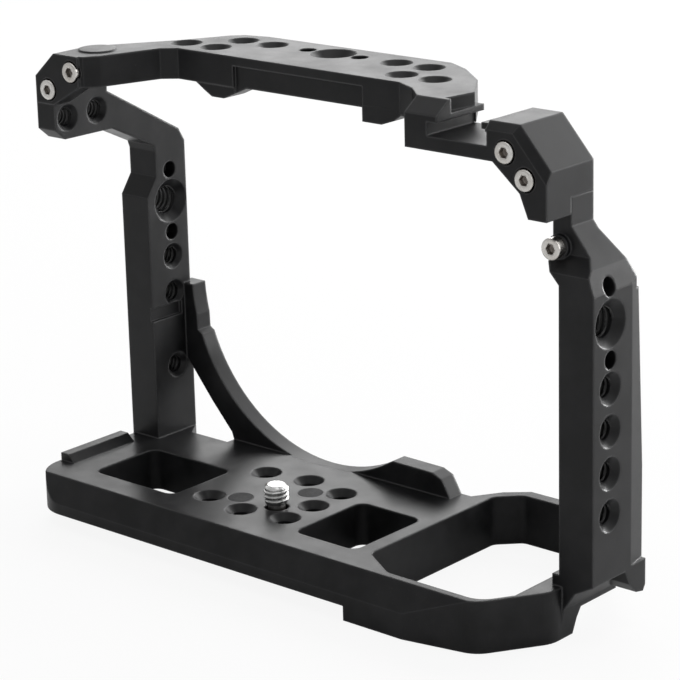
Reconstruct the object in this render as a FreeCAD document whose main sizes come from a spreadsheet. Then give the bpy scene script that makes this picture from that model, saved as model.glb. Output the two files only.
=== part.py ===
import FreeCAD, Part
import Sketcher
import os
import re

os.makedirs("parts", exist_ok=True)
doc = FreeCAD.newDocument("CameraCage")

# Driving dimensions in millimetres
sheet = doc.addObject("Spreadsheet::Sheet", "Dims")
DIMS = {
    "top_level": 134.0,
    "plate_thick": 8.5,
    "base_level": 14.0,
    "base_under": 4.0,
    "rear_wall": -52.0,
    "rear_rim": -48.3,
    "rear_wall_top": 7.0,
    "left_end": -73.6,
    "ring_right": 95.5,
    "ring_front": 21.9,
    "ring_inner_left": 43.0,
    "ring_inner_right": 89.5,
    "ring_inner_rear": -46.3,
    "ring_inner_front": 18.4,
    "post_inner_face": -64.0,
    "post_outer_face": -74.5,
    "post_rear": -9.2,
    "post_front": 6.5,
    "grip_inner_face": 94.6,
    "grip_outer_face": 105.0,
    "grip_rear": -27.0,
    "grip_front": -4.5,
    "head_rear": -43.0,
    "head_floor": 109.5,
    "seam_height": 119.7,
    "lap_plane": -37.0,
    "block_rear": -33.0,
    "block_front": -14.0,
    "block_split": -23.0,
    "lip_top": 130.5,
    "block_top": 131.4,
    "block_right": 95.5,
    "head_left": -70.8,
    "shoe_left": 52.0,
    "shoe_floor": 125.4,
    "shoe_under": 121.8,
    "shoe_slot_left": 59.0,
    "shoe_slot_width": 18.6,
    "shoe_lip_gap": 12.5,
    "shoe_lip_thick": 1.6,
    "plate_front": 8.2,
    "plate_rear": -18.8,
    "arc_centre_x": -12.0,
    "arc_centre_height": 61.3,
    "arc_radius": 48.6,
    "arc_front": 9.2,
    "arc_rear": 3.9,
    "pitch": 11.0,
    "small_thread_radius": 2.6,
    "large_thread_radius": 4.0,
    "mouth_chamfer": 1.8,
    "shallow_chamfer": 1.2,
    "pin_spacing": 18.4,
    "pin_radius": 2.4,
    "pin_depth": 4.0,
    "first_hole_drop": 16.5,
    "post_hole_height": 84.1,
    "grip_hole_height": 82.6,
    "post_hole_row": 0.0,
    "grip_hole_row": -20.0,
    "joining_head_radius": 2.75,
    "joining_head_height": 3.0,
    "joining_shank_radius": 1.25,
    "joining_shank_length": 11.0,
    "joining_sink": 2.4,
    "hex_radius": 1.45,
    "hex_depth": 1.6,
    "screw_clearance": 0.35,
    "camera_screw_x": 1.0,
    "camera_screw_y": -29.0,
    "camera_thread_radius": 3.1,
    "camera_neck_radius": 2.4,
    "camera_screw_top": 20.6,
    "camera_neck_top": 15.4,
    "camera_head_radius": 5.6,
    "camera_head_thick": 3.0,
    "camera_head_under": 5.0,
    "camera_bore_radius": 3.4,
    "head_pocket_radius": 6.0,
    "running_gap": 0.1,
    "insert_radius": 3.4,
    "insert_depth": 1.5,
    "insert_clearance": 0.05,
}
for row, (alias, size) in enumerate(DIMS.items(), start=1):
    sheet.set("A%d" % row, alias.replace("_", " "))
    sheet.set("B%d" % row, "%s" % size)
    sheet.setAlias("B%d" % row, alias)
doc.recompute()


def bound(text):
    """Return the expression with every driving dimension qualified by its sheet."""
    return re.sub(r"[a-z][a-z_]+", lambda hit: "Dims." + hit.group(0), str(text))


def number(text):
    """Return the present value of an expression of driving dimensions."""
    result = sheet.evalExpression(bound(text))
    return float(getattr(result, "Value", result))


def new_body(name):
    """Return an empty body whose name and label are the piece's name."""
    body = doc.addObject("PartDesign::Body", name)
    body.Label = name
    body.setExpression("Placement.Base.x", bound("-(grip_outer_face + post_outer_face) / 2"))
    body.setExpression("Placement.Base.y", bound("-(rear_wall + ring_front) / 2"))
    return body


def plane_of(body, role):
    """Return one of the body's own origin planes."""
    for feature in body.Origin.OriginFeatures:
        if feature.Role == role:
            return feature
    raise ValueError(role)


PLANES = {"XY": "XY_Plane", "XZ": "XZ_Plane", "YZ": "YZ_Plane"}


def new_sketch(body, name, plane, start):
    """Return a sketch on a body plane, moved along the plane's normal to its start."""
    sketch = body.newObject("Sketcher::SketchObject", name)
    sketch.AttachmentSupport = [(plane_of(body, PLANES[plane]), "")]
    sketch.MapMode = "FlatFace"
    text = bound(start)
    if plane == "XZ":
        text = "-(" + text + ")"
    sketch.setExpression("AttachmentOffset.Base.z", text)
    return sketch


def pin_point(sketch, index, end, across, up):
    """Fix one sketch point at two expressions measured from the sketch's origin."""
    for kind, text in (("DistanceX", across), ("DistanceY", up)):
        entry = sketch.addConstraint(
            Sketcher.Constraint(kind, -1, 1, index, end, number(text)))
        sketch.setExpression("Constraints[%d]" % entry, bound(text))


def add_outline(sketch, corners):
    """Add one closed outline of straight sides through the given corners."""
    points = [FreeCAD.Vector(number(a), number(b), 0) for a, b in corners]
    first = sketch.GeometryCount
    count = len(points)
    for i in range(count):
        sketch.addGeometry(Part.LineSegment(points[i], points[(i + 1) % count]), False)
    for i in range(count):
        sketch.addConstraint(
            Sketcher.Constraint("Coincident", first + i, 2, first + (i + 1) % count, 1))
    for i in range(count):
        pin_point(sketch, first + i, 1, corners[i][0], corners[i][1])


def add_circle(sketch, across, up, radius):
    """Add one circle with its centre and radius bound to expressions."""
    centre = FreeCAD.Vector(number(across), number(up), 0)
    index = sketch.addGeometry(
        Part.Circle(centre, FreeCAD.Vector(0, 0, 1), number(radius)), False)
    pin_point(sketch, index, 3, across, up)
    entry = sketch.addConstraint(Sketcher.Constraint("Radius", index, number(radius)))
    sketch.setExpression("Constraints[%d]" % entry, bound(radius))


def grow(body, kind, sketch, length):
    """Pad or pocket a sketch along its plane's positive growing direction."""
    feature = body.newObject(kind, sketch.Name + "Solid")
    feature.Profile = sketch
    feature.setExpression("Length", bound(length))
    feature.Reversed = kind == "PartDesign::Pocket"
    sketch.Visibility = False
    body.Tip = feature
    doc.recompute()
    if "Invalid" in feature.State:
        raise ValueError(feature.Name + " did not build")
    return feature


def pad(body, name, plane, start, length, corners):
    """Add a straight-sided block of material."""
    sketch = new_sketch(body, name, plane, start)
    add_outline(sketch, corners)
    return grow(body, "PartDesign::Pad", sketch, length)


def cut(body, name, plane, start, length, corners):
    """Take a straight-sided block of material away."""
    sketch = new_sketch(body, name, plane, start)
    add_outline(sketch, corners)
    return grow(body, "PartDesign::Pocket", sketch, length)


def pad_round(body, name, plane, start, length, circles):
    """Add round bars of material."""
    sketch = new_sketch(body, name, plane, start)
    for across, up, radius in circles:
        add_circle(sketch, across, up, radius)
    return grow(body, "PartDesign::Pad", sketch, length)


def bore(body, name, plane, start, length, circles):
    """Take round holes away."""
    sketch = new_sketch(body, name, plane, start)
    for across, up, radius in circles:
        add_circle(sketch, across, up, radius)
    return grow(body, "PartDesign::Pocket", sketch, length)


def soften(body, kind, name, size, chosen):
    """Round or bevel the edges of the present tip that a test chooses."""
    tip = body.Tip
    names = []
    for i, edge in enumerate(tip.Shape.Edges, start=1):
        if chosen(edge):
            names.append("Edge%d" % i)
    if not names:
        raise ValueError("no edges for " + name)
    feature = body.newObject(kind, name)
    feature.Base = (tip, names)
    feature.setExpression("Radius" if kind.endswith("Fillet") else "Size", bound(size))
    tip.Visibility = False
    body.Tip = feature
    doc.recompute()
    if "Invalid" in feature.State:
        raise ValueError(feature.Name + " did not build")
    return feature


def rim_of(radius, axis, level):
    """Return a test for circular edges of one radius lying in one plane."""
    wanted = number(radius)
    place = number(level)

    def test(edge):
        curve = edge.Curve
        if not isinstance(curve, Part.Circle) or abs(curve.Radius - wanted) > 0.01:
            return False
        return abs(getattr(curve.Center, axis) - place) < 0.02

    return test


def upright_at(corners, reach=0.6):
    """Return a test for vertical straight edges standing at given plan corners."""
    places = [(number(a), number(b)) for a, b in corners]

    def test(edge):
        if not isinstance(edge.Curve, Part.Line) or len(edge.Vertexes) != 2:
            return False
        a, b = edge.Vertexes[0].Point, edge.Vertexes[1].Point
        if abs(a.x - b.x) > 0.01 or abs(a.y - b.y) > 0.01:
            return False
        return any(abs(a.x - x) < reach and abs(a.y - y) < reach for x, y in places)

    return test


# Main frame: base, both uprights and the curved lens support, machined from one block
frame = new_body("main_frame")
pad(frame, "BaseSlab", "XY", "base_under", "base_level - base_under", [
    ("left_end", "rear_wall"),
    ("ring_right - 31.5", "rear_wall"),
    ("ring_right - 11", "rear_wall + 4"),
    ("ring_right", "rear_wall + 21"),
    ("ring_right", "-3"),
    ("ring_right - 20", "ring_front"),
    ("ring_inner_left + 6", "ring_front"),
    ("ring_inner_left", "ring_front - 5"),
    ("ring_inner_left - 5", "arc_front"),
    ("-46", "arc_front"),
    ("-46", "1"),
    ("-60", "1"),
    ("post_inner_face", "post_front"),
    ("post_outer_face", "post_front"),
    ("post_outer_face", "post_rear"),
    ("left_end", "post_rear - 1"),
])
pad(frame, "RingSkirt", "XY", "0", "base_under", [
    ("ring_inner_left + 1.5", "rear_wall"),
    ("ring_right - 31.5", "rear_wall"),
    ("ring_right - 11", "rear_wall + 4"),
    ("ring_right", "rear_wall + 21"),
    ("ring_right", "-3"),
    ("ring_right - 20", "ring_front"),
    ("ring_inner_left + 6", "ring_front"),
    ("ring_inner_left", "ring_front - 5"),
    ("ring_inner_left - 3", "ring_front - 13"),
    ("ring_inner_left - 3", "rear_wall + 6"),
])
pad(frame, "DovetailFoot", "XZ", "0", "-(rear_wall + 6)", [
    ("left_end + 4", "base_under"),
    ("left_end + 5", "base_under - 2"),
    ("ring_inner_left - 3", "base_under - 2"),
    ("ring_inner_left - 3", "base_under"),
])
pad(frame, "LeftRidge", "XZ", "post_rear - 6", "post_rear - 6 - (rear_wall + 13)", [
    ("left_end", "base_level - 1"),
    ("left_end", "base_level + 2.2"),
    ("left_end + 3", "base_level + 2.2"),
    ("left_end + 5.5", "base_level"),
    ("left_end + 5.5", "base_level - 1"),
])
# Left upright with its raked strut up to the rear head
pad(frame, "LeftPost", "YZ", "post_outer_face", "post_inner_face - post_outer_face", [
    ("post_rear", "base_level - 2"),
    ("post_front", "base_level - 2"),
    ("post_front", "100.8"),
    ("post_front - 2.2", "104.6"),
    ("-23", "120.2"),
    ("-23", "seam_height + 5"),
    ("lap_plane", "seam_height + 5"),
    ("lap_plane", "seam_height"),
    ("head_rear", "seam_height"),
    ("head_rear", "head_floor + 3"),
    ("head_rear + 3.5", "head_floor"),
    ("-21.8", "head_floor - 0.2"),
    ("post_rear + 3.2", "101.5"),
    ("post_rear + 3.9", "99.5"),
    ("post_rear + 3.9", "92"),
    ("post_rear", "86.5"),
])
cut(frame, "HeadTrim", "XY", "head_floor - 2", "30", [
    ("post_outer_face - 1", "head_rear - 1"),
    ("head_left", "head_rear - 1"),
    ("head_left", "-18"),
    ("post_outer_face - 1", "-12"),
])
pad(frame, "LeftLug", "XZ", "-25", "-25 - lap_plane", [
    ("head_left", "seam_height - 2"),
    ("post_inner_face", "seam_height - 2"),
    ("post_inner_face", "top_level - plate_thick"),
    ("-54", "top_level - plate_thick"),
    ("-54", "top_level - 2"),
    ("-64", "top_level - 2"),
    ("head_left", "seam_height + 5.5"),
])
# Right upright on the grip side
pad(frame, "GripPost", "XY", "16", "73", [
    ("grip_inner_face", "grip_rear"),
    ("grip_outer_face", "grip_rear"),
    ("grip_outer_face", "grip_front - 6.4"),
    ("grip_outer_face - 1.2", "grip_front"),
    ("grip_inner_face", "grip_front"),
])
pad(frame, "GripFoot", "XZ", "grip_front", "grip_front - grip_rear", [
    ("ring_right - 3", "1"),
    ("ring_right - 0.4", "1"),
    ("ring_right + 0.6", "8"),
    ("ring_right + 4", "13"),
    ("grip_outer_face", "16"),
    ("grip_outer_face", "17"),
    ("ring_right - 3", "17"),
])
pad(frame, "GripToe", "YZ", "ring_right - 1", "grip_outer_face - ring_right + 1", [
    ("grip_front - 9", "16.5"),
    ("grip_front - 7", "12"),
    ("grip_front - 4", "9"),
    ("grip_front - 1", "8.4"),
    ("grip_front", "10"),
    ("grip_front", "16.5"),
])
pad(frame, "GripShoulder", "XZ", "grip_front - 4", "grip_front - 4 - grip_rear", [
    ("grip_inner_face", "76"),
    ("grip_outer_face", "76"),
    ("grip_outer_face", "90.5"),
    ("grip_outer_face - 2", "96.5"),
    ("block_right", "106"),
    ("block_right", "113.3"),
    ("block_right - 3", "113.3"),
    ("block_right - 3", "118"),
    ("82.2", "129"),
    ("78.8", "129"),
    ("78.8", "122"),
    ("87.5", "112.5"),
    ("90", "109.5"),
    ("90", "97"),
    ("grip_inner_face", "92"),
])
cut(frame, "ShoulderRelief", "YZ", "70", "40", [
    ("grip_rear - 1", "94"),
    ("block_split", "99"),
    ("block_split", "135"),
    ("grip_rear - 1", "135"),
])
cut(frame, "ShoulderFront", "YZ", "70", "40", [
    ("grip_front + 0.1", "40"),
    ("grip_front + 3", "40"),
    ("grip_front + 3", "135"),
    ("block_front", "135"),
    ("block_front", "104"),
    ("grip_front - 3", "90"),
])
cut(frame, "ShoulderBevel", "XY", "70", "50", [
    ("grip_outer_face", "grip_front - 6.4"),
    ("grip_outer_face + 2", "grip_front - 6.4"),
    ("grip_outer_face + 2", "grip_front + 1.6"),
    ("grip_outer_face - 1.5", "grip_front + 1.6"),
])
# Curved lens support
lens = new_sketch(frame, "LensArc", "XZ", "arc_front")
add_outline(lens, [
    ("-54.3", "24.4"),
    ("-46.8", "16.2"),
    ("-45", "base_level - 3"),
    ("ring_inner_left - 7", "base_level - 3"),
    ("ring_inner_left - 8", "base_level - 0.5"),
    ("ring_inner_left - 11.2", "base_level + 5"),
    ("ring_inner_left - 14.5", "base_level + 6.3"),
    ("14", "base_level + 6.5"),
    ("8", "base_level + 3"),
    ("-9", "base_level - 0.6"),
    ("-59", "45"),
    ("-59.5", "58.5"),
    ("post_inner_face - 2", "58.5"),
    ("post_inner_face - 2", "38.5"),
])
grow(frame, "PartDesign::Pad", lens, "arc_front - arc_rear")
bore(frame, "LensOpening", "XZ", "arc_front + 1", "arc_front - arc_rear + 2", [
    ("arc_centre_x", "arc_centre_height", "arc_radius"),
])
# Windows through the base
cut(frame, "Windows", "XY", "-1", "base_level + 2", [
    ("-59", "-40"), ("-28", "-40"), ("-28", "-16"), ("-59", "-16"),
])
cut(frame, "MiddleWindow", "XY", "-1", "base_level + 2", [
    ("17", "-40"), ("38.5", "-40"), ("38.5", "-12.5"), ("17", "-12.5"),
])
cut(frame, "GripWindow", "XY", "-1", "base_level + 2", [
    ("ring_inner_left", "rear_wall + 13"),
    ("ring_inner_left + 12", "ring_inner_rear"),
    ("ring_inner_right - 5", "ring_inner_rear"),
    ("ring_inner_right", "ring_inner_rear + 8"),
    ("ring_inner_right", "-5"),
    ("ring_inner_right - 17.5", "ring_inner_front"),
    ("ring_inner_left + 6", "ring_inner_front"),
    ("ring_inner_left", "ring_inner_front - 6"),
])
cut(frame, "RearBevel", "YZ", "left_end - 1", "ring_right - left_end", [
    ("rear_wall - 1", "rear_wall_top - 1.9"),
    ("rear_wall - 1", "base_level + 1"),
    ("rear_rim + 0.5", "base_level + 1"),
])
# Corners of the base and its windows are rounded before the small holes are cut
soften(frame, "PartDesign::Fillet", "RearCornerRounding", "12", upright_at([
    ("left_end", "rear_wall"),
]))
soften(frame, "PartDesign::Fillet", "RingRounding", "8", upright_at([
    ("ring_right - 11", "rear_wall + 4"),
    ("ring_right", "rear_wall + 21"),
    ("ring_right", "-3"),
    ("ring_right - 20", "ring_front"),
]))
soften(frame, "PartDesign::Fillet", "WindowRounding", "3", upright_at([
    ("-59", "-40"), ("-28", "-40"), ("-28", "-16"), ("-59", "-16"),
    ("17", "-40"), ("38.5", "-40"), ("38.5", "-12.5"), ("17", "-12.5"),
    ("ring_inner_left", "rear_wall + 13"),
    ("ring_inner_left + 12", "ring_inner_rear"),
    ("ring_inner_left", "ring_inner_front - 6"),
    ("ring_inner_left + 6", "ring_inner_front"),
    ("ring_inner_right - 17.5", "ring_inner_front"),
]))
soften(frame, "PartDesign::Fillet", "GripWindowRounding", "7", upright_at([
    ("ring_inner_right - 5", "ring_inner_rear"),
]))

# Arch under the ring in front of the grip upright
cut(frame, "GripArch", "YZ", "ring_right - 14", "26", [
    ("grip_rear + 4", "-1"),
    ("grip_rear + 7.5", "6.5"),
    ("ring_front + 3", "6.5"),
    ("ring_front + 3", "-1"),
])

# Threaded holes of the base for a quarter inch screw, with bevelled mouths
BASE_HOLES = [
    ("-19.5", "-34"), ("-5.5", "-36.3"), ("8.5", "-34"), ("8.5", "-22.5"),
    ("8.5", "-11"), ("-5.5", "-8.7"), ("-19.5", "-11"),
]
bore(frame, "BaseHoles", "XY", "base_under - 3", "base_level",
     [(x, y, "small_thread_radius") for x, y in BASE_HOLES])
soften(frame, "PartDesign::Chamfer", "BaseHoleMouths", "mouth_chamfer",
       rim_of("small_thread_radius", "z", "base_level"))
bore(frame, "CameraScrewBore", "XY", "0", "base_level + 1", [
    ("camera_screw_x", "camera_screw_y", "camera_bore_radius"),
])
bore(frame, "CameraHeadPocket", "XY", "0", "camera_head_under + camera_head_thick + 0.6", [
    ("camera_screw_x", "camera_screw_y", "head_pocket_radius"),
])
bore(frame, "InsertSeats", "XY", "base_level - insert_depth", "insert_depth + 1", [
    ("-11.7", "-29.9", "insert_radius + insert_clearance"),
    ("1.2", "-15.6", "insert_radius + insert_clearance"),
])

# Holes through the left upright, facing the camera
bore(frame, "PostLargeHole", "YZ", "post_outer_face - 1", "post_inner_face - post_outer_face + 2", [
    ("post_hole_row", "post_hole_height", "large_thread_radius"),
])
bore(frame, "PostSmallHoles", "YZ", "post_outer_face - 1", "post_inner_face - post_outer_face + 2", [
    ("post_hole_row", "post_hole_height - first_hole_drop", "small_thread_radius"),
    ("post_hole_row", "post_hole_height - first_hole_drop - pitch", "small_thread_radius"),
    ("post_hole_row", "post_hole_height - first_hole_drop - 3 * pitch", "small_thread_radius"),
])
bore(frame, "PostPins", "YZ", "post_inner_face - pin_depth", "pin_depth + 1", [
    ("post_hole_row", "post_hole_height + pin_spacing / 2", "pin_radius"),
    ("post_hole_row", "post_hole_height - pin_spacing / 2", "pin_radius"),
])
soften(frame, "PartDesign::Chamfer", "PostLargeMouth", "mouth_chamfer * 1.3",
       rim_of("large_thread_radius", "x", "post_inner_face"))
soften(frame, "PartDesign::Chamfer", "PostSmallMouths", "shallow_chamfer",
       rim_of("small_thread_radius", "x", "post_inner_face"))
cut(frame, "PostSlot", "YZ", "post_inner_face - 1", "2", [
    ("post_rear - 1", "49.6"), ("2.6", "49.6"), ("2.6", "53.4"), ("post_rear - 1", "53.4"),
])
bore(frame, "HeadHoles", "YZ", "post_outer_face - 1", "post_inner_face - post_outer_face + 2", [
    ("-38.2", "115.4", "small_thread_radius"),
    ("pitch - 38.2", "115.6", "small_thread_radius"),
])
soften(frame, "PartDesign::Chamfer", "HeadMouths", "shallow_chamfer",
       rim_of("small_thread_radius", "x", "post_inner_face"))

# Holes in the grip upright, facing outwards
bore(frame, "GripLargeHole", "YZ", "grip_inner_face - 1", "grip_outer_face - grip_inner_face + 2", [
    ("grip_hole_row", "grip_hole_height", "large_thread_radius"),
])
bore(frame, "GripSmallHoles", "YZ", "grip_inner_face - 1", "grip_outer_face - grip_inner_face + 2", [
    ("grip_hole_row", "grip_hole_height - first_hole_drop", "small_thread_radius"),
    ("grip_hole_row", "grip_hole_height - first_hole_drop - pitch", "small_thread_radius"),
    ("grip_hole_row", "grip_hole_height - first_hole_drop - 2 * pitch", "small_thread_radius"),
    ("grip_hole_row", "grip_hole_height - first_hole_drop - 3 * pitch", "small_thread_radius"),
])
bore(frame, "GripPins", "YZ", "grip_outer_face - pin_depth", "pin_depth + 1", [
    ("grip_hole_row", "grip_hole_height + pin_spacing / 2", "pin_radius"),
    ("grip_hole_row", "grip_hole_height - pin_spacing / 2", "pin_radius"),
])
soften(frame, "PartDesign::Chamfer", "GripLargeMouth", "mouth_chamfer * 1.3",
       rim_of("large_thread_radius", "x", "grip_outer_face"))
soften(frame, "PartDesign::Chamfer", "GripSmallMouths", "mouth_chamfer",
       rim_of("small_thread_radius", "x", "grip_outer_face"))

# Tapped holes for the joining screws and for the small rear screw
LEFT_JOINTS = [("-65.9", "top_level - 10.2"), ("-56.8", "top_level - 4.4")]
RIGHT_JOINTS = [("83.1", "top_level - 9.5"), ("89.1", "top_level - 15.5")]
bore(frame, "LeftTaps", "XZ", "-26", "-26 - lap_plane + 1",
     [(x, z, "joining_shank_radius") for x, z in LEFT_JOINTS])
bore(frame, "RightTaps", "XZ", "block_front - 1", "block_front - block_split",
     [(x, z, "joining_shank_radius") for x, z in RIGHT_JOINTS])
REAR_SCREW = ("92.4", "100.8")
pad_round(frame, "RearScrewBoss", "XZ", "block_split + 3", "4.5", [
    (REAR_SCREW[0], REAR_SCREW[1], "3"),
])
bore(frame, "RearScrewTap", "XZ", "block_split + 7", "9.6", [
    (REAR_SCREW[0], REAR_SCREW[1], "joining_shank_radius"),
])
doc.recompute()

# Top plate with its left arm, accessory shoe and right block
plate = new_body("top_plate")
pad(plate, "PlateSlab", "XY", "top_level - plate_thick", "plate_thick", [
    ("-40.6", "plate_rear + 0.8"), ("38.7", "plate_rear"), ("46", "-22.5"), ("52", "-28"),
    ("60", "-28"), ("61.9", "-17.4"), ("53.4", "-5.5"), ("42.2", "3.8"), ("34", "plate_front"),
    ("-31", "plate_front"), ("-38.4", "6.4"), ("-41.4", "3.5"), ("-48.4", "-9.2"),
    ("-53.3", "-16"), ("-60.1", "-25.5"), ("-63.3", "-30"), ("-63.3", "head_rear"),
    ("-56", "head_rear"), ("-53", "-41.8"), ("-50.2", "-37.9"), ("-44.5", "-21"),
])
pad(plate, "ArmEnd", "XZ", "-30", "-30 - head_rear", [
    ("head_left", "seam_height"),
    ("post_inner_face", "seam_height"),
    ("-54", "top_level - plate_thick"),
    ("-54", "top_level"),
    ("-63.3", "top_level"),
    ("head_left", "top_level - 6.8"),
])
cut(plate, "ArmLap", "XZ", "-24", "-24 - lap_plane", [
    ("head_left - 1", "seam_height - 1"),
    ("-53.8", "seam_height - 1"),
    ("-53.8", "top_level - 2"),
    ("-64", "top_level - 2"),
    ("head_left - 1", "seam_height + 4.6"),
])
pad(plate, "ShoeFloor", "XY", "shoe_under", "shoe_floor - shoe_under", [
    ("shoe_left", "block_rear"), ("79.5", "block_rear"), ("79.5", "block_split"),
    ("78.8", "block_split"), ("78.8", "block_front"), ("shoe_left", "block_front"),
])
pad(plate, "ShoeWall", "XY", "shoe_under + 1", "lip_top - shoe_under - 1", [
    ("shoe_left", "block_rear"),
    ("shoe_slot_left + (shoe_slot_width - shoe_lip_gap) / 2", "block_rear"),
    ("shoe_slot_left + (shoe_slot_width - shoe_lip_gap) / 2", "block_front"),
    ("shoe_left", "block_front"),
])
pad(plate, "ShoeRamp", "YZ", "shoe_left",
    "shoe_slot_left + (shoe_slot_width - shoe_lip_gap) / 2 - shoe_left", [
        ("block_rear", "lip_top - 1"),
        ("block_rear", "lip_top"),
        ("-28", "top_level"),
        ("-27", "top_level"),
        ("-27", "lip_top - 1"),
    ])
pad(plate, "BlockPlate", "XZ", "block_split", "block_split - block_rear", [
    ("shoe_slot_left + shoe_slot_width - 0.4", "shoe_under"), ("79.3", "shoe_under"),
    ("87.5", "115"), ("90", "109"),
    ("block_right", "109"), ("block_right", "121"), ("86.3", "block_top"),
    ("shoe_slot_left + shoe_slot_width - 0.4", "block_top"),
])
pad(plate, "BlockCap", "XZ", "block_front", "block_front - block_split", [
    ("shoe_slot_left + shoe_slot_width - 0.4", "shoe_under"), ("78.8", "shoe_under"),
    ("78.8", "129"), ("82.2", "129"), ("block_right - 3", "118"),
    ("block_right - 3", "113.3"), ("block_right", "113.3"), ("block_right", "121"),
    ("86.3", "block_top"), ("shoe_slot_left + shoe_slot_width - 0.4", "block_top"),
])
pad(plate, "RightLip", "XY", "lip_top - shoe_lip_thick", "shoe_lip_thick", [
    ("shoe_slot_left + (shoe_slot_width + shoe_lip_gap) / 2", "block_rear + 2"),
    ("shoe_slot_left + shoe_slot_width", "block_rear + 2"),
    ("shoe_slot_left + shoe_slot_width", "block_rear + 7"),
    ("shoe_slot_left + (shoe_slot_width + shoe_lip_gap) / 2", "block_rear + 7"),
])
cut(plate, "ShoeSlot", "XZ", "block_front + 0.01", "block_front - block_rear + 1", [
    ("shoe_slot_left", "shoe_floor"),
    ("shoe_slot_left + shoe_slot_width", "shoe_floor"),
    ("shoe_slot_left + shoe_slot_width", "lip_top - shoe_lip_thick"),
    ("shoe_slot_left", "lip_top - shoe_lip_thick"),
])
pad(plate, "LeftHanger", "XZ", "plate_rear + 9", "8", [
    ("-36", "top_level - plate_thick + 1"), ("-31", "top_level - 10.6"),
    ("-28.5", "top_level - 12"), ("-24", "top_level - 12"), ("-17", "top_level - 8.9"),
    ("-15", "top_level - plate_thick + 1"),
])
pad(plate, "RightHanger", "XZ", "plate_rear + 9", "9", [
    ("26", "top_level - plate_thick + 1"), ("26", "top_level - 11.8"),
    ("32.5", "top_level - 11.8"), ("36.5", "top_level - 10.4"), ("39", "top_level - 8.6"),
    ("39", "top_level - plate_thick + 1"),
])
cut(plate, "FinderBay", "XZ", "plate_rear + 1.6", "4", [
    ("-20", "top_level - plate_thick - 6"), ("26", "top_level - plate_thick - 6"),
    ("26", "top_level - 2.6"), ("-20", "top_level - 2.6"),
])
pad_round(plate, "ArmPad", "XY", "top_level - 1", "1.4", [("-57.4", "-32", "5.2")])
soften(plate, "PartDesign::Chamfer", "BlockRearBevel", "2", lambda edge: (
    len(edge.Vertexes) == 2
    and all(abs(v.Y - number("block_rear")) < 0.01 for v in edge.Vertexes)
    and all(v.Z > 119 and v.X > number("shoe_slot_left + shoe_slot_width - 1")
            for v in edge.Vertexes)
    and abs(edge.Vertexes[0].X - edge.Vertexes[1].X) > 1
    and edge.BoundBox.ZMax > number("block_top") - 0.1))

# Threaded holes of the plate: two rows on one pitch, and the large hole with its pin seats
PLATE_HOLES = [
    ("-4 * pitch", "-pitch"), ("-3 * pitch", "-pitch"), ("-3 * pitch", "0"), ("-2 * pitch", "0"),
    ("2 * pitch", "0"), ("3 * pitch", "0"), ("3 * pitch", "-pitch"), ("4 * pitch", "-pitch"),
]
bore(plate, "PlateHoles", "XY", "top_level - plate_thick - 6", "plate_thick + 7",
     [(x, y, "small_thread_radius") for x, y in PLATE_HOLES])
bore(plate, "PlateLargeHole", "XY", "top_level - plate_thick - 1", "plate_thick + 2", [
    ("0", "0", "large_thread_radius"),
])
bore(plate, "PlatePins", "XY", "top_level - pin_depth", "pin_depth + 1", [
    ("-pin_spacing / 2", "0", "pin_radius"),
    ("pin_spacing / 2", "0", "pin_radius"),
])
soften(plate, "PartDesign::Chamfer", "PlateMouths", "mouth_chamfer",
       rim_of("small_thread_radius", "z", "top_level"))
soften(plate, "PartDesign::Chamfer", "PlateLargeMouth", "mouth_chamfer * 1.3",
       rim_of("large_thread_radius", "z", "top_level"))

# Clearance holes and head recesses for the joining screws
bore(plate, "LeftClearance", "XZ", "lap_plane + 1", "lap_plane + 1 - head_rear + 1",
     [(x, z, "joining_shank_radius + screw_clearance") for x, z in LEFT_JOINTS])
bore(plate, "LeftRecess", "XZ", "head_rear + joining_sink", "joining_sink + 1",
     [(x, z, "joining_head_radius + screw_clearance") for x, z in LEFT_JOINTS])
bore(plate, "RightClearance", "XZ", "block_split + 1", "block_split - block_rear + 2",
     [(x, z, "joining_shank_radius + screw_clearance") for x, z in RIGHT_JOINTS])
bore(plate, "RightRecess", "XZ", "block_rear + joining_sink", "joining_sink + 1",
     [(x, z, "joining_head_radius + screw_clearance") for x, z in RIGHT_JOINTS])


def socket_screw(name, place, seat, length):
    """Build one socket-head cap screw pointing away from the rear viewer."""
    x, z = place
    body = new_body(name)
    pad_round(body, name + "Head", "XZ", seat, "joining_head_height", [
        (x, z, "joining_head_radius"),
    ])
    soften(body, "PartDesign::Fillet", name + "Edge", "0.3",
           rim_of("joining_head_radius", "y", seat + " - joining_head_height"))
    pad_round(body, name + "Shank", "XZ", seat + " + " + length, length + " + 0.5", [
        (x, z, "joining_shank_radius - running_gap / 4"),
    ])
    sketch = new_sketch(body, name + "Hex", "XZ", seat + " - joining_head_height + hex_depth")
    # A regular hexagon from six corners on the key circle
    add_outline(sketch, [
        (x + " + hex_radius", z),
        (x + " + hex_radius / 2", z + " + hex_radius * 0.866"),
        (x + " - hex_radius / 2", z + " + hex_radius * 0.866"),
        (x + " - hex_radius", z),
        (x + " - hex_radius / 2", z + " - hex_radius * 0.866"),
        (x + " + hex_radius / 2", z + " - hex_radius * 0.866"),
    ])
    grow(body, "PartDesign::Pocket", sketch, "hex_depth + 1")
    return body


screws = [
    socket_screw("joining_screw_left_outer", LEFT_JOINTS[0],
                 "head_rear + joining_sink", "joining_shank_length"),
    socket_screw("joining_screw_left_inner", LEFT_JOINTS[1],
                 "head_rear + joining_sink", "joining_shank_length"),
    socket_screw("joining_screw_right_upper", RIGHT_JOINTS[0],
                 "block_rear + joining_sink", "joining_shank_length + 2"),
    socket_screw("joining_screw_right_lower", RIGHT_JOINTS[1],
                 "block_rear + joining_sink", "joining_shank_length + 2"),
    socket_screw("rear_side_screw", REAR_SCREW,
                 "block_split - 1.5", "joining_shank_length - 3"),
]

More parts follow.
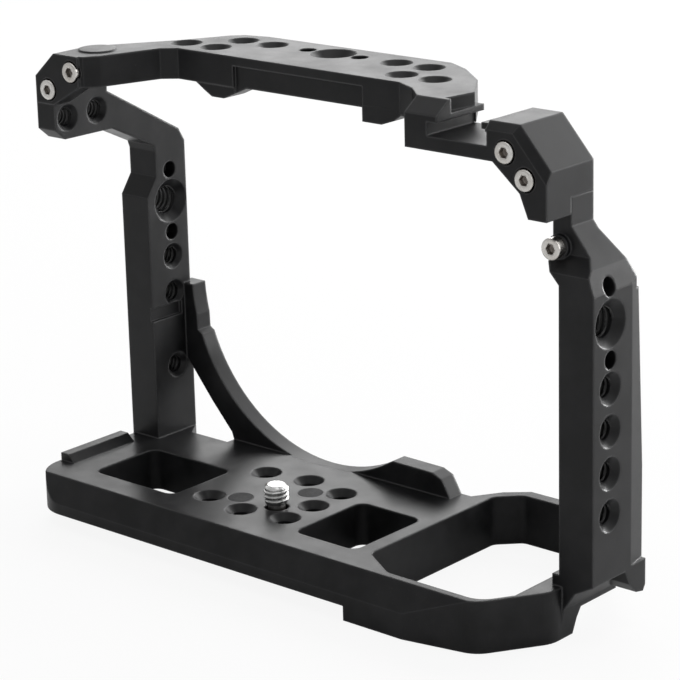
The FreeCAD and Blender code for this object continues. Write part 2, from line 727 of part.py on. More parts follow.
# Captive camera screw: threaded tip, plain neck, slotted head under the base
camera = new_body("camera_screw")
CAMERA_AXIS = ("camera_screw_x", "camera_screw_y")
pad_round(camera, "CameraHead", "XY", "camera_head_under", "camera_head_thick", [
    (CAMERA_AXIS[0], CAMERA_AXIS[1], "camera_head_radius"),
])
soften(camera, "PartDesign::Chamfer", "CameraHeadEdge", "0.4",
       rim_of("camera_head_radius", "z", "camera_head_under"))
pad_round(camera, "CameraNeck", "XY", "camera_head_under + camera_head_thick - 0.5",
          "camera_neck_top - camera_head_under - camera_head_thick + 1", [
              (CAMERA_AXIS[0], CAMERA_AXIS[1], "camera_neck_radius"),
          ])
pad_round(camera, "CameraThread", "XY", "camera_neck_top", "camera_screw_top - camera_neck_top", [
    (CAMERA_AXIS[0], CAMERA_AXIS[1], "camera_thread_radius"),
])
soften(camera, "PartDesign::Chamfer", "CameraTip", "0.7",
       rim_of("camera_thread_radius", "z", "camera_screw_top"))
cut(camera, "CameraSlot", "XY", "camera_head_under - 1", "2.2", [
    ("camera_screw_x - 8", "camera_screw_y - 0.8"),
    ("camera_screw_x + 8", "camera_screw_y - 0.8"),
    ("camera_screw_x + 8", "camera_screw_y + 0.8"),
    ("camera_screw_x - 8", "camera_screw_y + 0.8"),
])

# Retaining ring seated in the base around the neck of the camera screw
ring = new_body("retaining_ring")
sketch = new_sketch(ring, "RingProfile", "XY", "camera_head_under + camera_head_thick + 3")
add_circle(sketch, CAMERA_AXIS[0], CAMERA_AXIS[1], "camera_bore_radius")
add_circle(sketch, CAMERA_AXIS[0], CAMERA_AXIS[1], "camera_neck_radius + running_gap")
grow(ring, "PartDesign::Pad", sketch, "1.2")

# Round inserts flush with the top of the base
inserts = []
for name, x, y in (("insert_left", "-11.7", "-29.9"), ("insert_right", "1.2", "-15.6")):
    body = new_body(name)
    pad_round(body, name + "Disc", "XY", "base_level - insert_depth", "insert_depth", [
        (x, y, "insert_radius"),
    ])
    inserts.append(body)

doc.recompute()
for item in doc.Objects:
    if "Invalid" in item.State or "Error" in item.State:
        raise ValueError(item.Name + " did not recompute")
for piece in [frame, plate, camera, ring] + screws + inserts:
    shape = piece.Shape
    if shape.isNull() or not shape.isValid() or len(shape.Solids) != 1:
        raise ValueError(piece.Label + " is not one sound solid")
    shape.exportStep("parts/%s.step" % piece.Label)
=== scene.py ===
"""Dressed model of a machined camera cage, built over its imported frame."""

import logging
import math
from dataclasses import dataclass, field
from enum import Enum

import bmesh
import bpy
from mathutils import Matrix, Vector


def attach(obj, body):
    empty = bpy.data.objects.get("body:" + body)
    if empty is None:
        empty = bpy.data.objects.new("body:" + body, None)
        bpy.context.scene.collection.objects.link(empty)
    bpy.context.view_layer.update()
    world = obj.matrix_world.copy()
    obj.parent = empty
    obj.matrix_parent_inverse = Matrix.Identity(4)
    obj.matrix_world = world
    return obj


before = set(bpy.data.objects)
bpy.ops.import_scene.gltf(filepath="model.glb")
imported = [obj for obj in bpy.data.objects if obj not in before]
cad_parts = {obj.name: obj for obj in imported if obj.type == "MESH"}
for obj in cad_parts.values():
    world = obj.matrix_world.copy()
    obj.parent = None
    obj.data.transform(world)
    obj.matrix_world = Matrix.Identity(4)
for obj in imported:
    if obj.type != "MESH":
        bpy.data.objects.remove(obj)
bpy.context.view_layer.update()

LOG = logging.getLogger("camera_cage")
MM = 0.001
SHIFT = Vector((-15.25, 15.05, 0.0))


def place(x: float, y: float, z: float) -> Vector:
    """Turn a place measured on the drawing, in millimetres, into the frame.

    Args:
        x: Distance towards the grip side from the large top hole.
        y: Distance towards the lens from the front row of top holes.
        z: Height above the lowest face.

    Returns:
        The same place in metres in the shared frame.
    """
    return (Vector((x, y, z)) + SHIFT) * MM


class Facing(Enum):
    """The way that the mouth of a hole looks."""

    RIGHT = "+x"
    UP = "+z"

    def turn(self) -> Matrix:
        """Return the rotation that takes the upright axis to this one."""
        aims = {"+x": Vector((1, 0, 0)), "+z": Vector((0, 0, 1))}
        return aims[self.value].to_track_quat("Z", "Y").to_matrix().to_4x4()


class NodePen:
    """Adds nodes and links to one node tree with short calls."""

    def __init__(self, tree: bpy.types.NodeTree) -> None:
        """Keep the tree that the nodes go into.

        Args:
            tree: The material's or group's node tree.
        """
        self.tree = tree

    def add(self, kind: str, **settings: object) -> bpy.types.Node:
        """Add a node of one kind and set its plain properties.

        Args:
            kind: The node's type name.
            settings: Property names and values of the node.

        Returns:
            The new node.
        """
        node = self.tree.nodes.new(kind)
        for name, value in settings.items():
            setattr(node, name, value)
        return node

    def link(self, start: bpy.types.NodeSocket, end: bpy.types.NodeSocket) -> None:
        """Join an output to an input."""
        self.tree.links.new(start, end)

    def math(self, kind: str, first: object, second: object = 0.0
             ) -> bpy.types.NodeSocket:
        """Add a math node whose inputs are sockets or plain numbers.

        Args:
            kind: The operation's name.
            first: The first input.
            second: The second input.

        Returns:
            The result socket.
        """
        node = self.add("ShaderNodeMath", operation=kind)
        for slot, value in zip(node.inputs, (first, second)):
            if isinstance(value, bpy.types.NodeSocket):
                self.link(value, slot)
            else:
                slot.default_value = value
        return node.outputs[0]

    def spread(self, value: bpy.types.NodeSocket, low: float, high: float,
               out_low: float = 0.0, out_high: float = 1.0) -> bpy.types.NodeSocket:
        """Map a value from one range to another, held at both ends.

        Args:
            value: The socket that is mapped.
            low: The input at the low end.
            high: The input at the high end.
            out_low: The output at the low end.
            out_high: The output at the high end.

        Returns:
            The mapped socket.
        """
        node = self.add("ShaderNodeMapRange", clamp=True)
        self.link(value, node.inputs["Value"])
        for name, number in (("From Min", low), ("From Max", high),
                             ("To Min", out_low), ("To Max", out_high)):
            node.inputs[name].default_value = number
        return node.outputs["Result"]

    def noise(self, point: bpy.types.NodeSocket, scale: float, detail: float = 2.0,
              rough: float = 0.5) -> bpy.types.NodeSocket:
        """Add a noise texture and return its value.

        Args:
            point: The coordinates that it reads.
            scale: Spots for each metre.
            detail: How many finer layers it has.
            rough: How strong the finer layers are.

        Returns:
            The noise value.
        """
        node = self.add("ShaderNodeTexNoise")
        self.link(point, node.inputs["Vector"])
        node.inputs["Scale"].default_value = scale
        node.inputs["Detail"].default_value = detail
        node.inputs["Roughness"].default_value = rough
        return node.outputs["Fac"]


def new_group(name: str, takes: dict[str, tuple[str, object]],
              gives: dict[str, str]) -> tuple[bpy.types.NodeTree, NodePen,
                                              bpy.types.Node, bpy.types.Node]:
    """Start a shader node group with named sockets.

    Args:
        name: The group's name.
        takes: Input names with their socket types and default values.
        gives: Output names with their socket types.

    Returns:
        The group, a pen for it, its input node and its output node.
    """
    tree = bpy.data.node_groups.new(name, "ShaderNodeTree")
    for label, (kind, value) in takes.items():
        socket = tree.interface.new_socket(label, in_out="INPUT", socket_type=kind)
        if value is not None:
            socket.default_value = value
    for label, kind in gives.items():
        tree.interface.new_socket(label, in_out="OUTPUT", socket_type=kind)
    pen = NodePen(tree)
    return tree, pen, pen.add("NodeGroupInput"), pen.add("NodeGroupOutput")


FLOAT, VECTOR = "NodeSocketFloat", "NodeSocketVector"
EDGE_RADIUS = 0.0008
DUST_COLOUR = (0.12, 0.12, 0.12, 1.0)


class Effects:
    """The shader node groups that the finishes share."""

    def __init__(self) -> None:
        """Build each group once."""
        self.bead_grain = self._bead_grain()
        self.edge_sheen = self._edge_sheen()
        self.turning_rings = self._turning_rings()
        self.handling = self._handling()

    def _bead_grain(self) -> bpy.types.NodeTree:
        """Build the fine pitted grain that blasting leaves under a coating.

        Returns:
            A group that gives a height and a mask of fine pits.
        """
        tree, pen, ins, outs = new_group(
            "Bead grain", {"Point": (VECTOR, None), "Grain Size": (FLOAT, 0.00012)},
            {"Height": FLOAT, "Pits": FLOAT})
        scale = pen.math("DIVIDE", 1.0, ins.outputs["Grain Size"])
        cells = pen.add("ShaderNodeTexVoronoi", feature="SMOOTH_F1")
        cells.inputs["Smoothness"].default_value = 0.6
        pen.link(ins.outputs["Point"], cells.inputs["Vector"])
        pen.link(scale, cells.inputs["Scale"])
        fine = pen.add("ShaderNodeTexNoise")
        fine.inputs["Detail"].default_value = 3.0
        pen.link(ins.outputs["Point"], fine.inputs["Vector"])
        pen.link(pen.math("MULTIPLY", scale, 0.6), fine.inputs["Scale"])
        height = pen.math("ADD", pen.math("MULTIPLY", cells.outputs["Distance"], 0.55),
                          pen.math("MULTIPLY", fine.outputs["Fac"], 0.45))
        pen.link(height, outs.inputs["Height"])
        pen.link(pen.spread(height, 0.35, 0.65), outs.inputs["Pits"])
        return tree

    def _edge_sheen(self) -> bpy.types.NodeTree:
        """Build a painted highlight along edges, broken into patches, and the normal of edges
        rounded by a small radius.

        Returns:
            A group that gives a painted highlight mask for edges and a rounded normal.
        """
        tree, pen, ins, outs = new_group(
            "Edge highlight and bevel", {"Point": (VECTOR, None), "Patchiness": (FLOAT, 0.3)},
            {"Edge": FLOAT, "Normal": VECTOR})
        soft = pen.add("ShaderNodeBevel", samples=6)
        soft.inputs["Radius"].default_value = EDGE_RADIUS
        flat = pen.add("ShaderNodeNewGeometry")
        dot = pen.add("ShaderNodeVectorMath", operation="DOT_PRODUCT")
        pen.link(soft.outputs["Normal"], dot.inputs[0])
        pen.link(flat.outputs["Normal"], dot.inputs[1])
        # Painted highlight: the mask rises where the rounded normal leaves the flat one, along
        # edges.
        edge_glint = pen.spread(dot.outputs["Value"], 0.995, 0.86)
        patches = pen.spread(pen.noise(ins.outputs["Point"], 160.0, 3.0), 0.3, 0.7)
        keep = pen.math("SUBTRACT", 1.0,
                        pen.math("MULTIPLY", patches, ins.outputs["Patchiness"]))
        pen.link(pen.math("MULTIPLY", edge_glint, keep), outs.inputs["Edge"])
        pen.link(soft.outputs["Normal"], outs.inputs["Normal"])
        return tree

    def _turning_rings(self) -> bpy.types.NodeTree:
        """Build the fine rings that a turning tool leaves along one axis.

        Returns:
            A group that gives a ring height that changes with depth.
        """
        tree, pen, ins, outs = new_group(
            "Turning rings", {"Point": (VECTOR, None), "Ring Pitch": (FLOAT, 0.00018)},
            {"Height": FLOAT})
        parts = pen.add("ShaderNodeSeparateXYZ")
        pen.link(ins.outputs["Point"], parts.inputs[0])
        total = pen.math("ADD", parts.outputs["Z"],
                         pen.math("MULTIPLY", parts.outputs["Y"], 0.6))
        turns = pen.math("DIVIDE", total, ins.outputs["Ring Pitch"])
        wave = pen.math("SINE", pen.math("MULTIPLY", turns, 2 * math.pi))
        wander = pen.noise(ins.outputs["Point"], 900.0, 2.0)
        pen.link(pen.math("MULTIPLY", wave, wander), outs.inputs["Height"])
        return tree

    def _handling(self) -> bpy.types.NodeTree:
        """Build the faint smears and dust that change gloss over a face.

        Returns:
            A group that gives a smear mask and a dust mask.
        """
        tree, pen, ins, outs = new_group(
            "Handling marks", {"Point": (VECTOR, None)},
            {"Smear": FLOAT, "Dust": FLOAT})
        broad = pen.noise(ins.outputs["Point"], 28.0, 4.0, 0.55)
        mid = pen.noise(ins.outputs["Point"], 110.0, 3.0, 0.6)
        pen.link(pen.spread(pen.math("ADD", broad, mid), 0.8, 1.25), outs.inputs["Smear"])
        specks = pen.noise(ins.outputs["Point"], 2600.0, 1.0)
        pen.link(pen.math("MULTIPLY", pen.spread(specks, 0.72, 0.8),
                          pen.spread(broad, 0.45, 0.7)), outs.inputs["Dust"])
        return tree


def start_material(name: str) -> tuple[bpy.types.Material, NodePen, bpy.types.Node,
                                       bpy.types.NodeSocket]:
    """Start a node material with its shader joined to its output.

    Args:
        name: The material's name.

    Returns:
        The material, a pen for it, its shader and its object coordinates.
    """
    material = bpy.data.materials.new(name)
    material.use_nodes = True
    material.node_tree.nodes.clear()
    pen = NodePen(material.node_tree)
    shader = pen.add("ShaderNodeBsdfPrincipled")
    pen.link(shader.outputs[0], pen.add("ShaderNodeOutputMaterial").inputs["Surface"])
    point = pen.add("ShaderNodeTexCoord").outputs["Object"]
    return material, pen, shader, point


def use_group(pen: NodePen, tree: bpy.types.NodeTree, point: bpy.types.NodeSocket,
              **values: float) -> bpy.types.Node:
    """Place a shared effect in a material.

    Args:
        pen: The pen of the material.
        tree: The shared group.
        point: The coordinates that it reads.
        values: Values for its other inputs, with spaces as underlines.

    Returns:
        The group node.
    """
    node = pen.add("ShaderNodeGroup", node_tree=tree)
    pen.link(point, node.inputs["Point"])
    for name, value in values.items():
        node.inputs[name.replace("_", " ")].default_value = value
    return node


def mixed(pen: NodePen, mask: bpy.types.NodeSocket, low: tuple, high: tuple
          ) -> bpy.types.NodeSocket:
    """Mix two colours by a mask.

    Args:
        pen: The pen of the material.
        mask: The mask, from 0 to 1.
        low: The colour where the mask is 0.
        high: The colour where the mask is 1.

    Returns:
        The mixed colour socket.
    """
    node = pen.add("ShaderNodeMix", data_type="RGBA")
    pen.link(mask, node.inputs["Factor"])
    node.inputs[6].default_value = (*low, 1.0)
    node.inputs[7].default_value = (*high, 1.0)
    return node.outputs[2]


@dataclass(frozen=True)
class AnodisedBlack:
    """Bead blasted aluminium under a satin black anodised coat, with a painted highlight
    lightening its edges.
    """

    name: str = "Satin black anodised"
    base: tuple = (0.0075, 0.0076, 0.0082)
    rubbed: tuple = (0.016, 0.016, 0.017)
    # The colour of the painted highlight along edges.
    edge_highlight: tuple = (0.09, 0.09, 0.092)
    gloss_low: float = 0.3
    gloss_high: float = 0.4
    grain: float = 0.00014
    depth: float = 0.000004
    specular: float = 0.24

    def make(self, effects: Effects) -> bpy.types.Material:
        """Build the material.

        Args:
            effects: The shared effects.

        Returns:
            The finished material.
        """
        material, pen, shader, point = start_material(self.name)
        grain = use_group(pen, effects.bead_grain, point, Grain_Size=self.grain)
        edges = use_group(pen, effects.edge_sheen, point)
        marks = use_group(pen, effects.handling, point)
        body = mixed(pen, marks.outputs["Smear"], self.base, self.rubbed)
        # Painted highlight: edges are lightened towards the highlight colour by the mask along
        # edges.
        node = pen.add("ShaderNodeMix", data_type="RGBA")
        pen.link(edges.outputs["Edge"], node.inputs["Factor"])
        pen.link(body, node.inputs[6])
        node.inputs[7].default_value = (*self.edge_highlight, 1.0)
        dusty = pen.add("ShaderNodeMix", data_type="RGBA")
        pen.link(pen.math("MULTIPLY", marks.outputs["Dust"], 0.35), dusty.inputs["Factor"])
        pen.link(node.outputs[2], dusty.inputs[6])
        dusty.inputs[7].default_value = DUST_COLOUR
        pen.link(dusty.outputs[2], shader.inputs["Base Color"])
        rough = pen.math("ADD", pen.spread(marks.outputs["Smear"], 0.0, 1.0,
                                           self.gloss_low, self.gloss_high),
                         pen.math("MULTIPLY", grain.outputs["Pits"], 0.05))
        pen.link(rough, shader.inputs["Roughness"])
        shader.inputs["Specular IOR Level"].default_value = self.specular
        bump = pen.add("ShaderNodeBump")
        bump.inputs["Strength"].default_value = 0.25
        bump.inputs["Distance"].default_value = self.depth
        pen.link(grain.outputs["Height"], bump.inputs["Height"])
        pen.link(edges.outputs["Normal"], bump.inputs["Normal"])
        pen.link(bump.outputs[0], shader.inputs["Normal"])
        return material


@dataclass(frozen=True)
class BareSteel:
    """Turned or pressed steel with tool marks, a little tarnish and painted shade darkening its
    recesses.
    """

    name: str
    base: tuple
    tarnish: tuple
    gloss_low: float
    gloss_high: float
    ring_pitch: float = 0.00018
    depth: float = 0.000006
    metal: float = 1.0
    # Painted shade: the brownish dark colour put into recesses, how far it reaches and how
    # strongly it covers.
    recess_shade: tuple = (0.1, 0.075, 0.06)
    shade_reach: float = 0.0022
    shade_cover: float = 0.9

    def make(self, effects: Effects) -> bpy.types.Material:
        """Build the material.

        Args:
            effects: The shared effects.

        Returns:
            The finished material.
        """
        material, pen, shader, point = start_material(self.name)
        rings = use_group(pen, effects.turning_rings, point, Ring_Pitch=self.ring_pitch)
        edges = use_group(pen, effects.edge_sheen, point, Patchiness=0.1)
        marks = use_group(pen, effects.handling, point)
        # Painted shade: recesses found by ambient occlusion are darkened towards the recess
        # shade colour, and made a little rougher.
        hollow = pen.add("ShaderNodeAmbientOcclusion", samples=8)
        hollow.inputs["Distance"].default_value = self.shade_reach
        recess_shade = pen.spread(hollow.outputs["AO"], 0.8, 0.25)
        skin = pen.add("ShaderNodeMix", data_type="RGBA")
        pen.link(pen.math("MULTIPLY", recess_shade, self.shade_cover), skin.inputs["Factor"])
        pen.link(mixed(pen, marks.outputs["Smear"], self.base, self.tarnish),
                 skin.inputs[6])
        skin.inputs[7].default_value = (*self.recess_shade, 1.0)
        pen.link(skin.outputs[2], shader.inputs["Base Color"])
        gloss = pen.spread(marks.outputs["Smear"], 0.0, 1.0, self.gloss_low,
                           self.gloss_high)
        pen.link(pen.math("ADD", gloss, pen.math("MULTIPLY", recess_shade, 0.15)),
                 shader.inputs["Roughness"])
        shader.inputs["Metallic"].default_value = self.metal
        bump = pen.add("ShaderNodeBump")
        bump.inputs["Strength"].default_value = 0.4
        bump.inputs["Distance"].default_value = self.depth
        pen.link(rings.outputs["Height"], bump.inputs["Height"])
        pen.link(edges.outputs["Normal"], bump.inputs["Normal"])
        pen.link(bump.outputs[0], shader.inputs["Normal"])
        return material


@dataclass(frozen=True)
class MouldedInsert:
    """Dark engineering plastic with a dry, slightly mottled face."""

    name: str = "Dark insert"
    base: tuple = (0.006, 0.006, 0.0065)
    light: tuple = (0.02, 0.02, 0.021)

    def make(self, effects: Effects) -> bpy.types.Material:
        """Build the material.

        Args:
            effects: The shared effects.

        Returns:
            The finished material.
        """
        material, pen, shader, point = start_material(self.name)
        grain = use_group(pen, effects.bead_grain, point, Grain_Size=0.0004)
        marks = use_group(pen, effects.handling, point)
        pen.link(mixed(pen, grain.outputs["Pits"], self.base, self.light),
                 shader.inputs["Base Color"])
        pen.link(pen.spread(marks.outputs["Smear"], 0.0, 1.0, 0.6, 0.75),
                 shader.inputs["Roughness"])
        shader.inputs["Specular IOR Level"].default_value = 0.2
        bump = pen.add("ShaderNodeBump")
        bump.inputs["Strength"].default_value = 0.5
        bump.inputs["Distance"].default_value = 0.00002
        pen.link(grain.outputs["Height"], bump.inputs["Height"])
        pen.link(bump.outputs[0], shader.inputs["Normal"])
        return material


@dataclass
class Thread:
    """A tapped or cut screw thread, as one ridge wound round an axis."""

    name: str
    mouth: Vector
    facing: Facing
    radius: float
    length: float
    pitch: float
    height: float
    start: float = 0.0
    outward: bool = False
    steps: int = 28

    def build(self) -> bpy.types.Object:
        """Build the ridge from a hole's mouth inwards, or up a screw.

        Returns:
            The thread as a mesh object in the shared frame.
        """
        mesh = bmesh.new()
        count = max(2, int(self.length / self.pitch * self.steps))
        sign = 1.0 if self.outward else -1.0
        half = self.pitch * 0.42
        rows = []
        for index in range(count + 1):
            turn = 2 * math.pi * index / self.steps
            along = self.start + self.length * index / count
            fade = min(1.0, index / (self.steps * 0.4), (count - index) / (self.steps * 0.4))
            crest = self.radius + sign * self.height * fade
            root = self.radius - sign * 0.00003
            profile = ((root, -half), (crest, -half * 0.25), (crest, half * 0.25), (root, half))
            rows.append([
                mesh.verts.new((reach * math.cos(turn), reach * math.sin(turn),
                                along * (1 if self.outward else -1) + offset))
                for reach, offset in profile])
        for near, far in zip(rows, rows[1:]):
            for slot in range(3):
                corners = (near[slot], near[slot + 1], far[slot + 1], far[slot])
                mesh.faces.new(corners)
            mesh.faces.new((near[3], near[0], far[0], far[3]))
        mesh.faces.new(rows[0])
        mesh.faces.new(list(reversed(rows[-1])))
        bmesh.ops.recalc_face_normals(mesh, faces=mesh.faces)
        return finish_mesh(mesh, self.name,
                           Matrix.Translation(self.mouth) @ self.facing.turn())


def finish_mesh(mesh: bmesh.types.BMesh, name: str, where: Matrix) -> bpy.types.Object:
    """Turn a mesh under work into an object whose place is in its points.

    Args:
        mesh: The mesh under work, which is freed.
        name: The object's name.
        where: The transform that is put into the points.

    Returns:
        The new object.
    """
    bmesh.ops.transform(mesh, matrix=where, verts=mesh.verts)
    data = bpy.data.meshes.new(name)
    mesh.to_mesh(data)
    mesh.free()
    thing = bpy.data.objects.new(name, data)
    bpy.context.scene.collection.objects.link(thing)
    return thing


def dress(thing: bpy.types.Object, body: str, finish: bpy.types.Material) -> None:
    """Give a new piece its finish and the body that it rides on.

    Args:
        thing: The piece.
        body: The body's name.
        finish: The material.
    """
    thing.data.materials.clear()
    thing.data.materials.append(finish)
    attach(thing, body)
    LOG.info("%s rides on %s with %d faces", thing.name, body, len(thing.data.polygons))


@dataclass
class Finishes:
    """All finishes of the cage, made once."""

    effects: Effects = field(default_factory=Effects)

    def __post_init__(self) -> None:
        """Build every material."""
        self.frame = AnodisedBlack().make(self.effects)
        self.plate = AnodisedBlack(name="Satin black anodised plate",
                                   gloss_low=0.32, gloss_high=0.42).make(self.effects)
        self.tapped = AnodisedBlack(name="Tapped anodised thread", base=(0.012, 0.012, 0.0125),
                                    edge_highlight=(0.05, 0.05, 0.05), gloss_low=0.16,
                                    gloss_high=0.24, specular=0.5).make(self.effects)
        self.stainless = BareSteel("Stainless cap screw", (0.82, 0.81, 0.79),
                                   (0.6, 0.56, 0.51), 0.16, 0.3).make(self.effects)
        self.chrome = BareSteel("Bright camera screw", (0.78, 0.78, 0.77),
                                (0.6, 0.6, 0.6), 0.12, 0.26).make(self.effects)
        self.spring = BareSteel("Dark spring ring", (0.2, 0.2, 0.21),
                                (0.12, 0.12, 0.12), 0.3, 0.45).make(self.effects)
        self.insert = MouldedInsert().make(self.effects)


SMALL_RADIUS, LARGE_RADIUS = 2.6, 4.0
SMALL_PITCH, LARGE_PITCH = 1.27, 1.5875
RIDGE = 0.3


def tapped(name: str, spot: tuple, facing: Facing, depth: float,
           large: bool = False, shallow: bool = False) -> Thread:
    """Describe the visible thread of one tapped hole of the cage.

    Args:
        name: The piece's name.
        spot: The middle of the hole's mouth, in drawing millimetres.
        facing: The way that the mouth looks.
        depth: How far the thread goes in, in millimetres.
        large: True for the 3/8 inch size.
        shallow: True where the hole's mouth has the smaller bevel.

    Returns:
        The thread, ready to build.
    """
    radius = LARGE_RADIUS if large else SMALL_RADIUS
    pitch = LARGE_PITCH if large else SMALL_PITCH
    mouth = 2.6 if large else 1.6 if shallow else 2.1
    return Thread(name=name, mouth=place(*spot), facing=facing, radius=radius * MM,
                  length=(depth - mouth - 0.9) * MM, pitch=pitch * MM,
                  height=RIDGE * MM, start=mouth * MM)


@dataclass
class MainFrame:
    """The machined frame: base, two uprights, lens support and their threads."""

    base_level: float = 14.0
    base_spots: tuple = ((-19.5, -34), (-5.5, -36.3), (8.5, -34), (8.5, -22.5),
                         (8.5, -11), (-5.5, -8.7), (-19.5, -11))
    base_depth: float = 11.5
    post_face: float = -64.0
    post_row: float = 0.0
    post_large: float = 84.1
    post_drops: tuple = (16.5, 27.5, 49.5)
    post_depth: float = 10.5
    head_spots: tuple = ((-38.2, 115.4), (-27.2, 115.6))
    head_depth: float = 6.8
    grip_face: float = 105.0
    grip_row: float = -20.0
    grip_large: float = 82.6
    grip_drops: tuple = (16.5, 27.5, 38.5, 49.5)
    grip_depth: float = 10.4

    def threads(self) -> list[Thread]:
        """List the threads of the frame's tapped holes."""
        found = [tapped(f"thread_base_{i}", (x, y, self.base_level), Facing.UP,
                        self.base_depth) for i, (x, y) in enumerate(self.base_spots, 1)]
        found.append(tapped("thread_post_large", (self.post_face, self.post_row,
                                                  self.post_large),
                            Facing.RIGHT, self.post_depth, True))
        found += [tapped(f"thread_post_{i}", (self.post_face, self.post_row,
                                              self.post_large - drop),
                         Facing.RIGHT, self.post_depth, shallow=True)
                  for i, drop in enumerate(self.post_drops, 1)]
        found += [tapped(f"thread_head_{i}", (self.post_face, y, z), Facing.RIGHT,
                         self.head_depth, shallow=True)
                  for i, (y, z) in enumerate(self.head_spots, 1)]
        found.append(tapped("thread_grip_large", (self.grip_face, self.grip_row,
                                                  self.grip_large),
                            Facing.RIGHT, self.grip_depth, True))
        found += [tapped(f"thread_grip_{i}", (self.grip_face, self.grip_row,
                                              self.grip_large - drop),
                         Facing.RIGHT, self.grip_depth)
                  for i, drop in enumerate(self.grip_drops, 1)]
        return found

    def dress(self, finishes: Finishes) -> None:
        """Finish the frame and cut its threads.

        Args:
            finishes: The cage's finishes.
        """
        repaint("main_frame", finishes.frame)
        for thread in self.threads():
            dress(thread.build(), "cage", finishes.tapped)


@dataclass
class TopPlate:
    """The top plate with its arm, shoe and tapped holes."""

    level: float = 134.0
    thick: float = 8.5
    spots: tuple = ((-44, -11), (-33, -11), (-33, 0), (-22, 0),
                    (22, 0), (33, 0), (33, -11), (44, -11))

    def dress(self, finishes: Finishes) -> None:
        """Finish the plate and cut its threads.

        Args:
            finishes: The cage's finishes.
        """
        repaint("top_plate", finishes.plate)
        threads = [tapped(f"thread_top_{i}", (x, y, self.level), Facing.UP, self.thick)
                   for i, (x, y) in enumerate(self.spots, 1)]
        threads.append(tapped("thread_top_large", (0, 0, self.level), Facing.UP,
                              self.thick, True))
        for thread in threads:
            dress(thread.build(), "cage", finishes.tapped)


@dataclass
class CameraScrew:
    """The captive screw that holds the camera, with its ring and inserts."""

    middle: tuple = (1.0, -29.0, 15.9)
    radius: float = 3.1
    length: float = 3.9
    crest: float = 0.34

    def dress(self, finishes: Finishes) -> None:
        """Finish the screw, its ring and the inserts beside it.

        Args:
            finishes: The cage's finishes.
        """
        repaint("camera_screw", finishes.chrome)
        ridge = Thread(name="camera_screw_thread", mouth=place(*self.middle),
                       facing=Facing.UP, radius=self.radius * MM, length=self.length * MM,
                       pitch=SMALL_PITCH * MM, height=self.crest * MM, outward=True,
                       steps=48)
        dress(ridge.build(), "camera_screw", finishes.chrome)
        repaint("retaining_ring", finishes.spring)
        for node in ("insert_left", "insert_right"):
            repaint(node, finishes.insert)


@dataclass
class CapScrews:
    """The five small cap screws."""

    nodes: tuple = ("joining_screw_left_outer", "joining_screw_left_inner",
                    "joining_screw_right_upper", "joining_screw_right_lower",
                    "rear_side_screw")

    def dress(self, finishes: Finishes) -> None:
        """Finish the screws.

        Args:
            finishes: The cage's finishes.
        """
        for node in self.nodes:
            repaint(node, finishes.stainless)


def repaint(node: str, finish: bpy.types.Material) -> None:
    """Put a finish on every material slot of a carried-over node.

    Args:
        node: The node's name.
        finish: The material.
    """
    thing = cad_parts[node]
    if not thing.material_slots:
        thing.data.materials.append(finish)
    for slot in thing.material_slots:
        slot.material = finish
    LOG.info("%s finished as %s", node, finish.name)


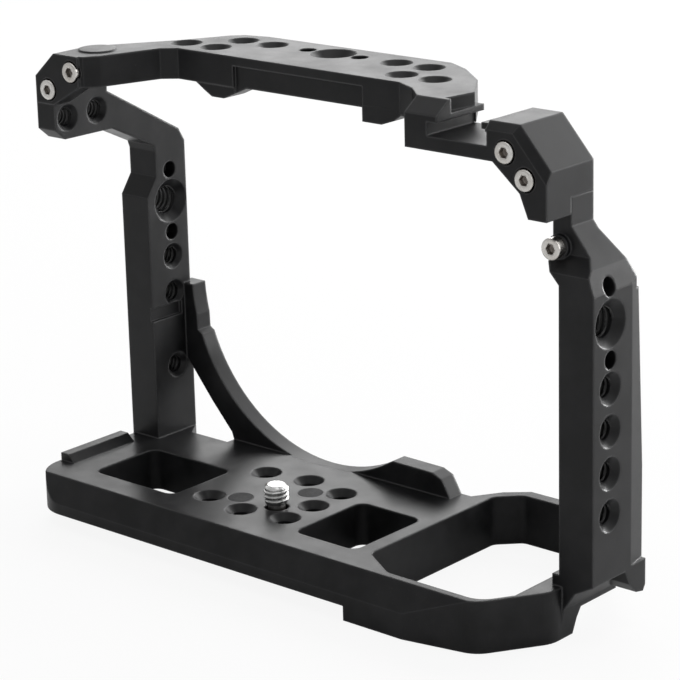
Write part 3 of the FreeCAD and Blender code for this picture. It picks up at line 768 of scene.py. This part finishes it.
@dataclass
class Studio:
    """The floor, backdrop light, lamps and camera."""

    azimuth: float = 0.7241561533956249
    elevation: float = 0.279408796275491
    roll: float = -0.02509580211208217
    focal: float = 2615.5235870359734
    centre: tuple = (343.143725698148, 281.8740837197047)
    offset: tuple = (-2.6142902994591855, -60.955199793021244, 698.4929317815509)
    picture: float = 680.0
    sensor: float = 36.0
    eye_drop: float = 134.0
    room_level: float = 0.3
    rear_level: float = 0.42
    lens_level: float = 1.0

    def camera(self) -> None:
        """Make the camera that was solved from the photograph."""
        back = Vector((math.sin(self.azimuth) * math.cos(self.elevation),
                       -math.cos(self.azimuth) * math.cos(self.elevation),
                       math.sin(self.elevation)))
        level = (-back).cross(Vector((0, 0, 1))).normalized()
        upright = level.cross(-back)
        right = math.cos(self.roll) * level + math.sin(self.roll) * upright
        up = -math.sin(self.roll) * level + math.cos(self.roll) * upright
        axes = Matrix((right, -up, -back))
        eye = -(axes.transposed() @ Vector(self.offset))
        eye.z += self.eye_drop
        data = bpy.data.cameras.new("Camera")
        data.sensor_fit = "HORIZONTAL"
        data.sensor_width = self.sensor
        data.lens = self.focal * self.sensor / self.picture
        half = self.picture / 2
        data.shift_x = (half - self.centre[0]) / self.picture
        data.shift_y = (self.centre[1] - half) / self.picture
        data.clip_start, data.clip_end = 0.01, 20.0
        thing = bpy.data.objects.new("Camera", data)
        turn = Matrix((right, up, back)).transposed().to_4x4()
        thing.matrix_world = Matrix.Translation((eye + SHIFT) * MM) @ turn
        bpy.context.scene.collection.objects.link(thing)
        bpy.context.scene.camera = thing

    def lamp(self, name: str, spot: tuple, aim: tuple, size: tuple, watts: float) -> None:
        """Hang one soft lamp.

        Args:
            name: The lamp's name.
            spot: Where it hangs, in metres.
            aim: The point that it looks at, in metres.
            size: Its width and height, in metres.
            watts: Its power.
        """
        data = bpy.data.lights.new(name, "AREA")
        data.shape = "RECTANGLE"
        data.size, data.size_y = size
        data.energy = watts
        thing = bpy.data.objects.new(name, data)
        thing.location = spot
        thing.rotation_euler = (Vector(aim) - Vector(spot)).to_track_quat("-Z", "Y").to_euler()
        bpy.context.scene.collection.objects.link(thing)

    def world(self) -> None:
        """Fill the room with a dim even light and a white background."""
        world = bpy.data.worlds.new("Room")
        world.use_nodes = True
        world.node_tree.nodes.clear()
        pen = NodePen(world.node_tree)
        path = pen.add("ShaderNodeLightPath")
        seen = pen.math("MAXIMUM", path.outputs["Is Camera Ray"],
                        path.outputs["Is Transmission Ray"])
        heading = pen.add("ShaderNodeSeparateXYZ")
        pen.link(pen.add("ShaderNodeTexCoord").outputs["Generated"], heading.inputs[0])
        mirrored = pen.spread(heading.outputs["Y"], -0.8, 0.8, self.rear_level, self.lens_level)
        glossy = pen.math("MULTIPLY", path.outputs["Is Glossy Ray"], mirrored)
        soft = pen.math("MAXIMUM", glossy, self.room_level)
        level = pen.math("MAXIMUM", seen, soft)
        back = pen.add("ShaderNodeBackground")
        back.inputs["Color"].default_value = (1, 1, 1, 1)
        pen.link(level, back.inputs["Strength"])
        pen.link(back.outputs[0], pen.add("ShaderNodeOutputWorld").inputs["Surface"])
        bpy.context.scene.world = world

    def floor(self) -> None:
        """Lay the white floor under the cage."""
        mesh = bmesh.new()
        bmesh.ops.create_grid(mesh, x_segments=1, y_segments=1, size=4.0)
        floor = finish_mesh(mesh, "floor", Matrix.Translation((0, 0, -0.0002)))
        material, pen, shader, _ = start_material("White floor")
        shader.inputs["Base Color"].default_value = (0.93, 0.93, 0.93, 1)
        shader.inputs["Roughness"].default_value = 0.7
        path = pen.add("ShaderNodeLightPath")
        glow = pen.add("ShaderNodeEmission")
        glow.inputs["Color"].default_value = (1, 1, 1, 1)
        blend = pen.add("ShaderNodeMixShader")
        pen.link(pen.math("MULTIPLY", path.outputs["Is Camera Ray"], 0.9), blend.inputs[0])
        pen.link(shader.outputs[0], blend.inputs[1])
        pen.link(glow.outputs[0], blend.inputs[2])
        for node in material.node_tree.nodes:
            if node.bl_idname == "ShaderNodeOutputMaterial":
                pen.link(blend.outputs[0], node.inputs["Surface"])
        floor.data.materials.append(material)

    def set_up(self) -> None:
        """Make the whole studio."""
        bpy.context.scene.view_settings.view_transform = "Standard"
        self.camera()
        self.world()
        self.floor()
        centre = (0.0, 0.0, 0.07)
        self.lamp("lens_side", (-0.3, 1.1, 0.75), centre, (1.8, 0.7), 12.0)
        self.lamp("grip_side", (1.2, 0.5, 0.5), centre, (0.7, 0.9), 3.0)
        self.lamp("overhead", (0.0, 0.1, 1.3), centre, (1.2, 0.9), 3.5)
        self.lamp("rim", (0.38, 1.25, 0.2), centre, (0.5, 0.3), 12.0)
        self.lamp("rear_fill", (0.4, -1.3, 0.3), centre, (1.2, 0.6), 0.8)


def main() -> None:
    """Build and dress every sub-assembly in order."""
    logging.basicConfig(level=logging.INFO, format="%(name)s: %(message)s")
    Studio().set_up()
    finishes = Finishes()
    for part in (MainFrame(), TopPlate(), CameraScrew(), CapScrews()):
        part.dress(finishes)
        LOG.info("%s is ready", type(part).__name__)


if __name__ == "__main__":
    main()
